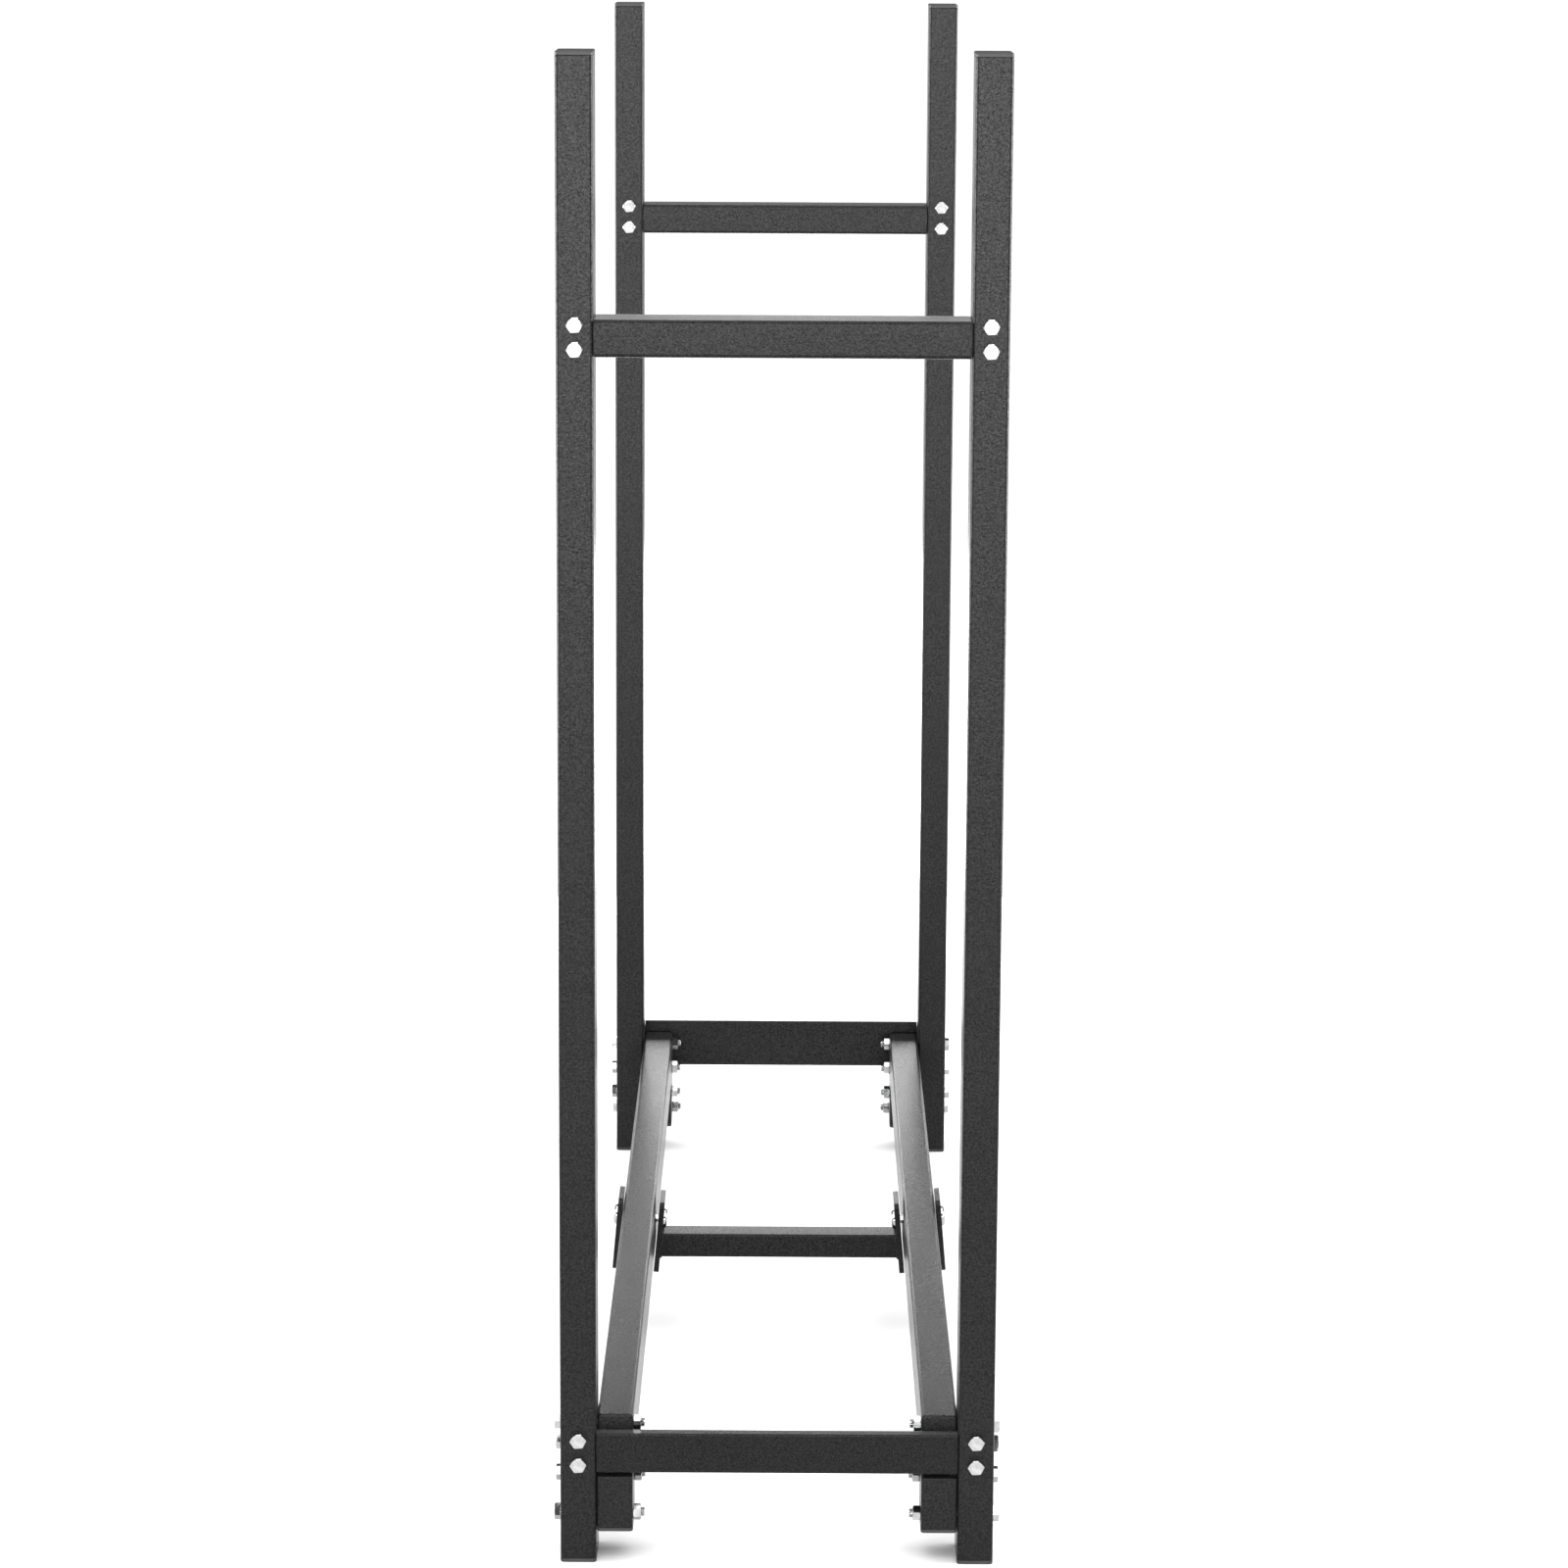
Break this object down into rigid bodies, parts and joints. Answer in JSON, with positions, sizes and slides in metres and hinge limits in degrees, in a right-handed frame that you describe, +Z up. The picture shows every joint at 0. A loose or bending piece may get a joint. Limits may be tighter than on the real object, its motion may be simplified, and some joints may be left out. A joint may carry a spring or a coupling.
{
  "type": "firewood log rack",
  "caption": "Tall narrow free-standing firewood rack: two end frames of black rectangular steel tube joined by two long base rails and a middle tie, bolted with zinc hex bolts.",
  "frame": {"origin": "on the floor, in the middle of the rack's footprint", "axes": "+X across an end frame, +Y along the rack from the near end to the far end, +Z up"},
  "size_m": [0.3712, 1.3312, 1.245],
  "materials": {
    "powder_coated_steel": "satin black powder coat with a fine grain",
    "zinc_hardware": "bright zinc plate",
    "black_plastic": "matte moulded plastic"
  },
  "bodies": {
    "root": {"base_rail_left": "powder_coated_steel", "base_rail_right": "powder_coated_steel", "lower_crossbar_bolt_high_far_left": "zinc_hardware", "lower_crossbar_bolt_high_far_right": "zinc_hardware", "lower_crossbar_bolt_high_near_left": "zinc_hardware", "lower_crossbar_bolt_high_near_right": "zinc_hardware", "lower_crossbar_bolt_low_far_left": "zinc_hardware", "lower_crossbar_bolt_low_far_right": "zinc_hardware", "lower_crossbar_bolt_low_near_left": "zinc_hardware", "lower_crossbar_bolt_low_near_right": "zinc_hardware", "lower_crossbar_far": "powder_coated_steel", "lower_crossbar_near": "powder_coated_steel", "mid_tie": "powder_coated_steel", "post_far_left": "powder_coated_steel", "post_far_right": "powder_coated_steel", "post_foot_cap_far_left": "black_plastic", "post_foot_cap_far_right": "black_plastic", "post_foot_cap_near_left": "black_plastic", "post_foot_cap_near_right": "black_plastic", "post_near_left": "powder_coated_steel", "post_near_right": "powder_coated_steel", "post_top_cap_far_left": "black_plastic", "post_top_cap_far_right": "black_plastic", "post_top_cap_near_left": "black_plastic", "post_top_cap_near_right": "black_plastic", "rail_bolt_lower_far_left": "zinc_hardware", "rail_bolt_lower_far_right": "zinc_hardware", "rail_bolt_lower_near_left": "zinc_hardware", "rail_bolt_lower_near_right": "zinc_hardware", "rail_bolt_upper_far_left": "zinc_hardware", "rail_bolt_upper_far_right": "zinc_hardware", "rail_bolt_upper_near_left": "zinc_hardware", "rail_bolt_upper_near_right": "zinc_hardware", "rail_foot_bolt_lower_far_left": "zinc_hardware", "rail_foot_bolt_lower_far_right": "zinc_hardware", "rail_foot_bolt_lower_near_left": "zinc_hardware", "rail_foot_bolt_lower_near_right": "zinc_hardware", "rail_foot_bolt_upper_far_left": "zinc_hardware", "rail_foot_bolt_upper_far_right": "zinc_hardware", "rail_foot_bolt_upper_near_left": "zinc_hardware", "rail_foot_bolt_upper_near_right": "zinc_hardware", "rail_foot_far_left": "powder_coated_steel", "rail_foot_far_right": "powder_coated_steel", "rail_foot_near_left": "powder_coated_steel", "rail_foot_near_right": "powder_coated_steel", "saddle_bolt_left": "zinc_hardware", "saddle_bolt_right": "zinc_hardware", "saddle_plate_left": "powder_coated_steel", "saddle_plate_right": "powder_coated_steel", "upper_crossbar_bolt_high_far_left": "zinc_hardware", "upper_crossbar_bolt_high_far_right": "zinc_hardware", "upper_crossbar_bolt_high_near_left": "zinc_hardware", "upper_crossbar_bolt_high_near_right": "zinc_hardware", "upper_crossbar_bolt_low_far_left": "zinc_hardware", "upper_crossbar_bolt_low_far_right": "zinc_hardware", "upper_crossbar_bolt_low_near_left": "zinc_hardware", "upper_crossbar_bolt_low_near_right": "zinc_hardware", "upper_crossbar_far": "powder_coated_steel", "upper_crossbar_near": "powder_coated_steel"}
  },
  "joints": []
}
